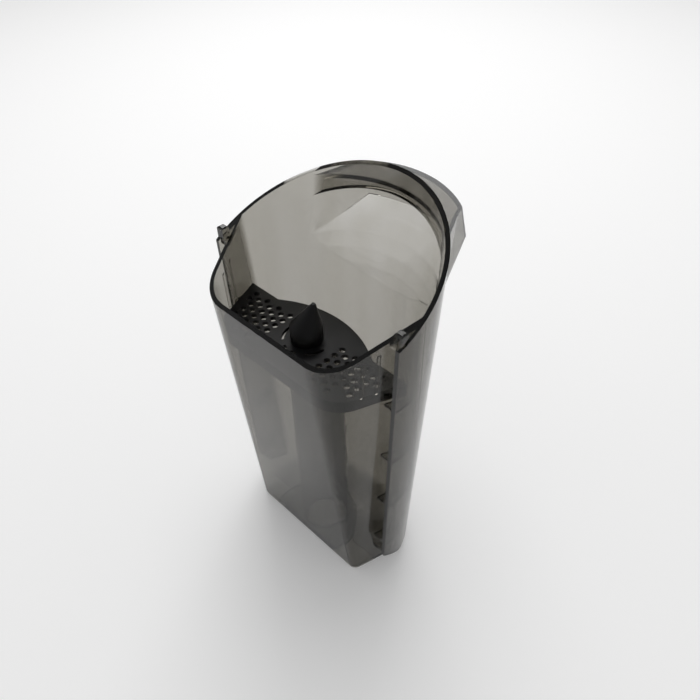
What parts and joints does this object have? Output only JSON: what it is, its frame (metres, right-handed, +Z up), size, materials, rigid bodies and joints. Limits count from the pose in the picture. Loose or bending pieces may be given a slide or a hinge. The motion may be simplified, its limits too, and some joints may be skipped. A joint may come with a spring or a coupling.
{
  "type": "dirty water tank of a floor washer",
  "caption": "Smoky clear open-topped dirty-water tank with a round front, flat rear, grip lip, suction duct and black drop-in strainer.",
  "frame": {"origin": "on the plane that the feet stand on, under the middle of the whole tank", "axes": "+X across the tank, +Y from the flat machine side to the round front, +Z up"},
  "size_m": [0.1261, 0.115, 0.2245],
  "materials": {
    "smoky_clear_plastic": "polished, see-through, smoky grey",
    "black_plastic": "fine satin",
    "seal_rubber": "matte"
  },
  "bodies": {
    "root": {"tank_body": "smoky_clear_plastic", "strainer": "black_plastic", "inlet_seal": "seal_rubber"}
  },
  "joints": []
}
